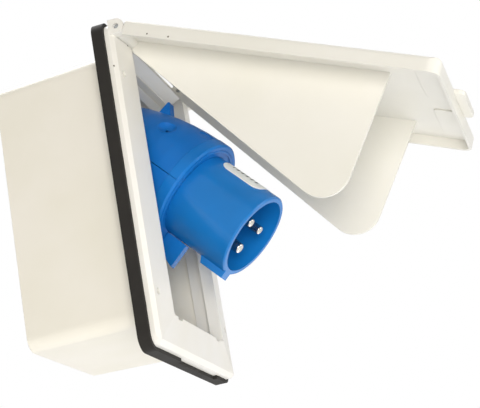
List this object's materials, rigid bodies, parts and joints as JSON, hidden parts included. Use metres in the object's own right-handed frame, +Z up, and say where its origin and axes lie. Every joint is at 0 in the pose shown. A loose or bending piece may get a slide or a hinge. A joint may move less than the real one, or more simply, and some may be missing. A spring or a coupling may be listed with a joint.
{
  "type": "flush hook-up inlet with a lidded recess box",
  "caption": "White recess box with gasketed frame, hinged lid with side cheeks, and a blue three-pin inlet plug that swings out downwards.",
  "frame": {"origin": "centre of the four wall screw holes, on the wall's face (the back of the gasket)", "axes": "-Y out of the wall, +Y into it, +Z up, X across the frame"},
  "size_m": [0.134, 0.249, 0.18],
  "materials": {
    "white_plastic": "satin moulded ABS",
    "lid_plastic": "satin moulded ABS",
    "black_rubber": "matte rubber",
    "blue_plastic": "satin moulded polyamide",
    "ring_plastic": "satin moulded polyamide",
    "carrier_plastic": "satin moulded polyamide",
    "nickel_plate": "nickel-plated brass",
    "screw_steel": "zinc-plated steel",
    "label_film": "printed film, bare"
  },
  "bodies": {
    "housing": {"front_frame": "white_plastic", "wall_gasket": "black_rubber", "back_box": "white_plastic", "rear_cover": "white_plastic", "rear_cover_screws": "screw_steel", "cable_grommet": "black_rubber", "hinge_pins": "screw_steel"},
    "door": {"lid": "lid_plastic"},
    "inlet": {"plug_shroud": "blue_plastic", "plug_clamp_ring": "ring_plastic", "plug_shell_upper": "blue_plastic", "plug_shell_lower": "blue_plastic", "plug_shell_screws": "screw_steel", "pin_carrier": "carrier_plastic", "live_pin": "nickel_plate", "neutral_pin": "nickel_plate", "earth_pin": "nickel_plate", "terminal_screws": "screw_steel", "cord_clamp": "carrier_plastic", "cord_clamp_screws": "screw_steel", "plug_gland_nut": "blue_plastic", "shroud_label": "label_film"}
  },
  "joints": [
    {"name": "lid_hinge", "type": "hinge", "parent": "housing", "child": "door", "pos_m": [0, -0.0133, 0.085], "axis": [1, 0, 0], "range_deg": [0, 66.5]},
    {"name": "plug_swing", "type": "hinge", "parent": "housing", "child": "inlet", "pos_m": [0, 0.0225, 0.0552], "axis": [1, 0, 0], "range_deg": [0, 42]}
  ],
  "couplings": [
    {"joint": "plug_swing", "follows": "lid_hinge", "ratio": 0.63158}
  ]
}
